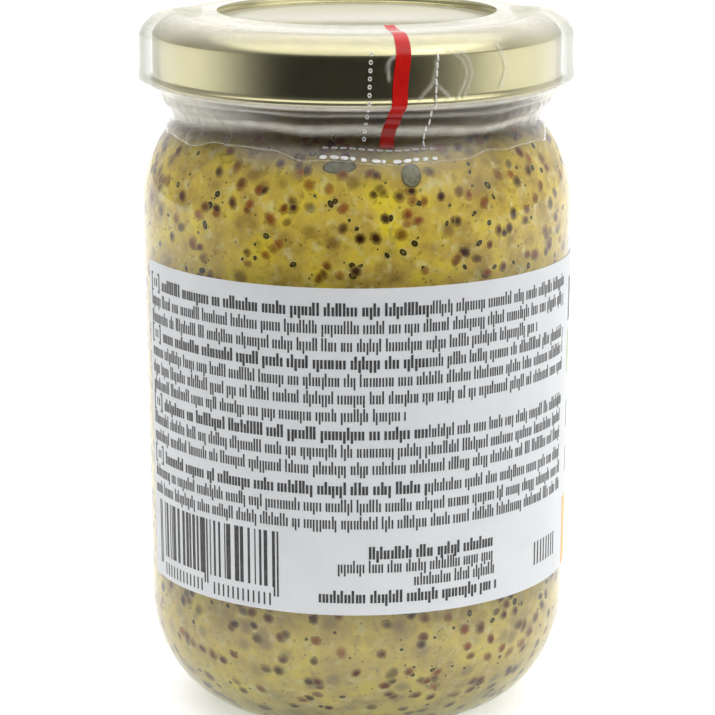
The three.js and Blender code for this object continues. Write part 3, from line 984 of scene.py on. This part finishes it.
def make_label():
    """The paper and its print, all of it strokes, stripes and fields that spell nothing."""
    end = LABEL_START + LABEL_SWEEP
    paper = slab_on_label(LABEL_START, end, LABEL_BOTTOM, LABEL_TOP, -PAPER_SHEET, 0, 220)
    piece("paper_label", paper, label_paper(), "label_paper", replaces="label", smooth=False)
    rng = np.random.default_rng(5)
    marks = [back_lines(rng), square_signs(), bar_stripes(rng), corner_strokes()]
    ink = printing_ink("dark_grey_offset_ink", "1a1a1c")
    piece("label_back_print", marks_on_label(*np.concatenate(marks, 1)), ink, "label_paper", smooth=False)
    make_front_print()


PRINT_LEFT, PRINT_RIGHT, PRINT_PITCH = -69.5, 72.5, 2.36
PARAGRAPHS = [(60.9, 3, 55.0), (53.8, 4, 13.0), (44.2, 3, PRINT_RIGHT), (36.7, 3, PRINT_RIGHT)]
SMALL_LINES = [(27.8, 3, True), (25.9, -5, False), (23.9, 15, False), (21.7, -10, True)]
SMALL_RIGHT = 40
SIGN_WIDTH, SIGN_HEIGHT, SIGN_EDGE = 3.0, 2.7, 0.32
SIGN_GAP, SIGN_DROP, SIGN_INSET = 0.8, 0.5, 0.8
BOLD_SHARE = 0.6


def back_lines(rng):
    """Four paragraphs, each with a first line set in behind its square sign and bold at its start, and a
    small block of lines at the lower right that all end at one azimuth."""
    lines = []
    for top, count, last_end in PARAGRAPHS:
        for k in range(count):
            end = last_end if k == count - 1 else PRINT_RIGHT
            start = PRINT_LEFT + (degrees_of(SIGN_WIDTH + SIGN_GAP) if k == 0 else 0)
            bold_end = start + BOLD_SHARE * (end - start) if k == 0 else start
            lines += [print_line(rng, start, bold_end, top - k * PRINT_PITCH, True),
                      print_line(rng, bold_end, end, top - k * PRINT_PITCH, False)]
    lines += [print_line(rng, start, SMALL_RIGHT, height, bold) for height, start, bold in SMALL_LINES]
    return np.concatenate(lines, 1)


def square_signs():
    """An outlined square with two short strokes in it, left of each paragraph."""
    signs = []
    right = PRINT_LEFT + degrees_of(SIGN_WIDTH)
    edge = degrees_of(SIGN_EDGE)
    for top, _, _ in PARAGRAPHS:
        low, high = top - SIGN_DROP, top - SIGN_DROP + SIGN_HEIGHT
        signs += [(PRINT_LEFT, right, low, low + SIGN_EDGE), (PRINT_LEFT, right, high - SIGN_EDGE, high),
                  (PRINT_LEFT, PRINT_LEFT + edge, low + SIGN_EDGE, high - SIGN_EDGE),
                  (right - edge, right, low + SIGN_EDGE, high - SIGN_EDGE)]
        for share in (0.36, 0.6):
            left = PRINT_LEFT + degrees_of(SIGN_WIDTH * share)
            signs.append((left, left + edge, low + SIGN_INSET, high - SIGN_INSET))
    return np.array(signs).T


def bar_stripes(rng):
    """A block of upright stripes: two halves of stripes and gaps of random widths between three pairs of
    longer guard stripes, and a row of short strokes below each half."""
    left, module, half = -67.0, degrees_of(0.2535), 42
    low, high, guard, strokes_low = 23.3, 31.1, 22.0, 20.7
    stripes = []
    for start in (0, 46, 92):
        stripes += [(start, start + 1, guard, high), (start + 2, start + 3, guard, high)]
    for start in (4, 50):
        widths = rng.integers(1, 5, 24)
        edges = start + np.cumsum(widths) * half / widths.sum()
        stripes += [(a, b, low, high) for a, b in zip(edges[0::2], edges[1::2])]
        stripes += [(a, a + 1, strokes_low, guard + 0.4) for a in start + 3 + 3.3 * np.arange(12)]
    first, last, bottom, top = np.array(stripes).T
    return np.stack([left + module * first, left + module * last, bottom, top])


def corner_strokes():
    """Four pairs of tall thin strokes at the lower right."""
    left = 55.5 + degrees_of(1.75) * np.arange(4)[:, None] + degrees_of(0.85) * np.arange(2)[None, :]
    left = left.ravel()
    return np.stack([left, left + degrees_of(0.32), np.full(8, 23.0), np.full(8, 26.3)])


def make_front_print():
    """The front of the label as plain fields: a charcoal band, a sage band, two grey lines and an orange
    foot."""
    fields = [("label_charcoal_band", "4a4b4e", 79, 256, 55.0, 61.2),
              ("label_sage_band", "aab98a", 79, 256, 47.5, 53.7),
              ("label_grey_line_upper", "8b8d90", 80, 150, 39.6, 43.4),
              ("label_grey_line_lower", "8b8d90", 80, 130, 33.0, 36.8),
              ("label_orange_foot", "e8a24a", 77, 258.4, LABEL_BOTTOM + 0.05, 29.8)]
    for name, code, start, end, bottom, top in fields:
        shape = slab_on_label(start, end, bottom, top, -INK_SHEET, INK_SHEET, 120)
        piece(name, shape, printing_ink(name + "_ink", code), "label_paper", smooth=False)


def make_seal():
    """The shrunk film, its tear strip and the rows of holes that let it tear."""
    shape, haze, doubled = film_shape()
    piece("shrunk_film", shape, shrink_film(), "shrink_film", replaces="seal_film", haze=haze,
          doubled=doubled)
    piece("tear_strip_tape", strip_shape(), red_tape(), "red_tape", replaces="tear_strip", smooth=False)
    make_holes()


HOLE_PITCH = 1.06
SLIT_ROW, GATHER_ROW = 81.9, 80.6  # heights on the film's path of the two rows along the hem


def make_holes():
    """What lets the film tear: round holes left of the strip, slits right of it, and along the hem in front a
    row of slits over a row of uneven gathers."""
    scar_and_glint = film_scar_and_glint()
    left = share_at(np.arange(83.2, 95.2, HOLE_PITCH))
    holes = rings_on_film(leaning(3.9, 2.0, left), left, 0.2, 0.24, 0.06)
    piece("film_round_holes", holes, scar_and_glint, "shrink_film")
    right = share_at(np.arange(82.6, 95.2, HOLE_PITCH))
    slits = rings_on_film(leaning(21.9, 19.8, right), right, 0.09, 0.3, 0.06)
    piece("film_slits", slits, scar_and_glint, "shrink_film")
    azimuth = np.arange(-9.0, 23.0, 2.6)
    upper = rings_on_film(azimuth, np.full(len(azimuth), share_at(SLIT_ROW)), 0.34, 0.1, 0.1)
    piece("film_hem_slits", upper, scar_and_glint, "shrink_film")
    azimuth = np.arange(-10.0, 22.0, 2.9)
    uneven = np.random.default_rng(7).random(len(azimuth))
    row = np.full(len(azimuth), share_at(GATHER_ROW))
    lower = beads_on_film(azimuth + uneven, row, 0.3 + 0.45 * uneven, 0.28, 0.2)
    piece("film_hem_gathers", lower, scar_and_glint, "shrink_film")


make_filling()
piece("jar_glass_wall", turned(jar_glass_profile()), flint_glass(), "clear_glass", replaces="jar_glass")
piece("twist_off_cap", turned(cap_profile()), gold_lacquer(), "gold_lacquer", replaces="cap")
make_label()
make_seal()


# Studio

def bearing(azimuth, elevation=0.0):
    """Unit direction to an azimuth and an elevation in degrees."""
    turn, rise = math.radians(azimuth), math.radians(elevation)
    return (math.cos(rise) * math.sin(turn), -math.cos(rise) * math.cos(turn), math.sin(rise))


FRONT = bearing(-4)  # where the table fades away
DIM_SIDE = bearing(-15)  # where the tent is dimmest
RIGHT_LIGHT = bearing(70, 42)  # where a brighter patch of the tent is


def make_floor():
    """A plain white table top that fades away in front of the jar, where the room is dark. A little light of
    its own keeps it white round the jar."""
    reach, drop = 2.5, -0.2 * MM
    corners = [(-reach, -reach, drop), (reach, -reach, drop), (reach, reach, drop), (-reach, reach, drop)]
    mesh = bpy.data.meshes.new("studio_floor")
    mesh.from_pydata(corners, [], [(0, 1, 2, 3)])
    material, tree = new_material("white_table_top")
    place = object_place(tree)
    outwards = add(tree, "ShaderNodeVectorMath", {0: place}, operation="NORMALIZE").outputs[0]
    in_front = span(tree, dot(tree, outwards, FRONT), -0.2, 0.85, kind=SMOOTH)
    distance = add(tree, "ShaderNodeVectorMath", {0: place}, operation="LENGTH").outputs["Value"]
    fade = product(tree, in_front, span(tree, distance, 0.16, 0.3, kind=SMOOTH))
    top = principled(tree, {"Base Color": linear("f4f4f4"), "Roughness": 0.7,
                            "Emission Color": linear("ffffff"), "Emission Strength": 0.3})
    gone = see_through(tree, linear("ffffff"))
    mesh.materials.append(finished(material, blend(tree, fade, top, gone)))
    floor = bpy.data.objects.new("studio_floor", mesh)
    bpy.context.scene.collection.objects.link(floor)


def make_light_tent():
    """Soft light from above, behind and the sides, a little less from the front, a brighter patch high on the
    right and a dark room below the table's front edge, which the cap mirrors. The camera itself sees plain
    white behind the jar."""
    world = bpy.data.worlds.new("light_tent")
    world.use_nodes = True
    tree = world.node_tree
    tree.nodes.clear()
    direction = add(tree, "ShaderNodeTexCoord").outputs["Generated"]
    facing = dot(tree, direction, DIM_SIDE)
    rise = upward_part(tree, direction)
    sides = span(tree, facing, 0.3, 0.95, 0.55, 0.16, SMOOTH)
    behind = span(tree, facing, -0.1, -0.8, 1.0, 2.1, SMOOTH)
    above = span(tree, rise, -0.08, 0.0, 0.3, 1.0)
    overhead = span(tree, rise, 0.6, 0.78, 1.0, span(tree, facing, -0.6, 0.2, 2.4, 4.6), SMOOTH)
    even = product(tree, product(tree, sides, behind), product(tree, above, overhead))
    glow = span(tree, dot(tree, direction, RIGHT_LIGHT), 0.86, 0.97, 0.0, 1.1, SMOOTH)
    strength = add(tree, "ShaderNodeMath", {0: even, 1: glow}, operation="ADD").outputs[0]
    tent = add(tree, "ShaderNodeBackground", {"Color": linear("ffffff"), "Strength": strength}).outputs[0]
    plain = add(tree, "ShaderNodeBackground", {"Color": linear("ffffff"), "Strength": 1.0}).outputs[0]
    seen = add(tree, "ShaderNodeLightPath").outputs["Is Camera Ray"]
    add(tree, "ShaderNodeOutputWorld", {"Surface": blend(tree, seen, tent, plain)})
    bpy.context.scene.world = world


def direction_to(place, target):
    """Rotation that points the camera at a target."""
    return (Vector(target) - Vector(place)).to_track_quat("-Z", "Y").to_euler()


def make_camera():
    """The photograph's view: a long lens looking down 13.3 degrees at the jar's middle."""
    target = (0.0001, 0, 0.0484)
    pitch, distance = math.radians(13.285), 0.4009
    data = bpy.data.cameras.new("photo_view")
    data.sensor_width, data.lens = 36.0, 143.0
    camera = bpy.data.objects.new("photo_view", data)
    camera.location = (target[0], -distance * math.cos(pitch), target[2] + distance * math.sin(pitch))
    camera.rotation_euler = direction_to(camera.location, target)
    bpy.context.scene.collection.objects.link(camera)
    bpy.context.scene.camera = camera


make_floor()
make_light_tent()
make_camera()
bpy.context.scene.view_settings.view_transform = "Standard"
